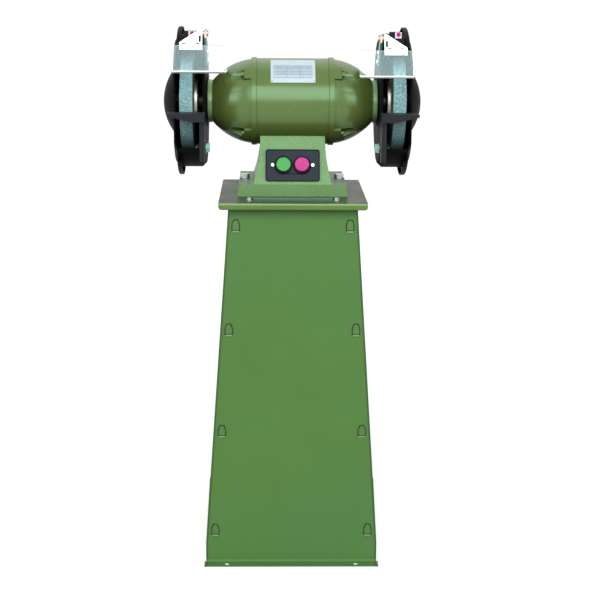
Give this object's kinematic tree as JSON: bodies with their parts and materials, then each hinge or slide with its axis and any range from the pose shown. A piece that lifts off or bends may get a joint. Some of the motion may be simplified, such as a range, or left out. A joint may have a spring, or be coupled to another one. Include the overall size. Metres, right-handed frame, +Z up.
{
  "type": "pedestal bench grinder",
  "caption": "Double-ended bench grinder on a tapered sheet-steel pedestal, with guarded wheels, tool rests, tilting eye shields and push buttons.",
  "frame": {"origin": "on the floor, under the centre of the column's foot flanges", "axes": "+X to the operator's right along the spindle, +Y away from the operator, +Z up"},
  "size_m": [0.5154, 0.3784, 1.059],
  "materials": {
    "column_paint": "semi-gloss green paint on pressed sheet",
    "plate_paint": "grey-green paint, scuffed on top",
    "casting_paint": "light green machine paint over iron",
    "guard_paint": "black textured paint",
    "rest_paint": "black paint, worn on the table",
    "zinc": "bright zinc plate",
    "black_steel": "black oxide",
    "copper_pin": "copper-coloured plate",
    "bright_steel": "ground steel",
    "flange_metal": "turned",
    "core_steel": "stacked electrical steel",
    "copper_winding": "varnished copper wire",
    "abrasive": "gritty vitrified abrasive",
    "blotter_card": "matt card",
    "switch_plastic": "moulded",
    "black_plastic": "moulded",
    "green_button": "moulded, glossy",
    "red_button": "moulded, glossy",
    "label_metal": "printed sheet, left blank",
    "can_metal": "drawn can",
    "clear_sheet": "clear polycarbonate sheet"
  },
  "bodies": {
    "stand": {"front_panel": "column_paint", "rear_panel": "column_paint", "left_side_panel": "column_paint", "right_side_panel": "column_paint", "top_plate": "plate_paint", "base_casting": "casting_paint", "motor_housing": "casting_paint", "left_end_bell": "casting_paint", "right_end_bell": "casting_paint", "left_inner_guard": "guard_paint", "right_inner_guard": "guard_paint", "left_outer_cover": "guard_paint", "right_outer_cover": "guard_paint", "left_spark_arrester": "guard_paint", "right_spark_arrester": "guard_paint", "plate_bolts": "zinc", "plate_strip": "zinc", "base_bolts": "zinc", "base_nuts": "zinc", "motor_bolts": "zinc", "base_cover": "zinc", "switch_screws": "zinc", "guard_screws": "zinc", "rest_bolts": "zinc", "rest_nuts": "zinc", "arrester_screws": "zinc", "shield_bars": "zinc", "tie_bolts": "black_steel", "shield_pivots": "copper_pin", "left_bearing": "bright_steel", "right_bearing": "bright_steel", "stator_core": "core_steel", "stator_windings": "copper_winding", "switch_plate": "switch_plastic", "switch_block": "black_plastic", "cable_gland": "black_plastic", "name_plate": "label_metal", "capacitor": "can_metal"},
    "start_button": {"start_button": "green_button"},
    "stop_button": {"stop_button": "red_button"},
    "spindle": {"shaft": "bright_steel", "rotor": "core_steel", "left_wheel": "abrasive", "left_inner_flange": "flange_metal", "left_outer_flange": "flange_metal", "left_blotters": "blotter_card", "left_spindle_nut": "black_steel", "right_wheel": "abrasive", "right_inner_flange": "flange_metal", "right_outer_flange": "flange_metal", "right_blotters": "blotter_card", "right_spindle_nut": "black_steel"},
    "left_rest": {"left_tool_rest": "rest_paint"},
    "left_shield": {"left_shield_bracket": "zinc", "left_eye_shield": "clear_sheet", "left_shield_screws": "zinc"},
    "right_rest": {"right_tool_rest": "rest_paint"},
    "right_shield": {"right_shield_bracket": "zinc", "right_eye_shield": "clear_sheet", "right_shield_screws": "zinc"}
  },
  "joints": [
    {"name": "spindle_spin", "type": "hinge", "parent": "stand", "child": "spindle", "pos_m": [0, 0.02, 0.912], "axis": [1, 0, 0], "continuous": true},
    {"name": "start_press", "type": "slide", "parent": "stand", "child": "start_button", "axis": [0, 0.9314, -0.3641], "range_m": [0, 0.003], "stiffness_N_per_m": 500, "springref_m": -0.002},
    {"name": "stop_press", "type": "slide", "parent": "stand", "child": "stop_button", "axis": [0, 0.9314, -0.3641], "range_m": [0, 0.003], "stiffness_N_per_m": 500, "springref_m": -0.002},
    {"name": "left_rest_slide", "type": "slide", "parent": "stand", "child": "left_rest", "axis": [0, -1, 0], "range_m": [0, 0.012]},
    {"name": "left_shield_tilt", "type": "hinge", "parent": "stand", "child": "left_shield", "pos_m": [-0.1694, -0.06779, 1.04973], "axis": [-1, 0, 0], "range_deg": [0, 60]},
    {"name": "right_rest_slide", "type": "slide", "parent": "stand", "child": "right_rest", "axis": [0, -1, 0], "range_m": [0, 0.012]},
    {"name": "right_shield_tilt", "type": "hinge", "parent": "stand", "child": "right_shield", "pos_m": [0.1694, -0.06779, 1.04173], "axis": [-1, 0, 0], "range_deg": [0, 60]}
  ]
}
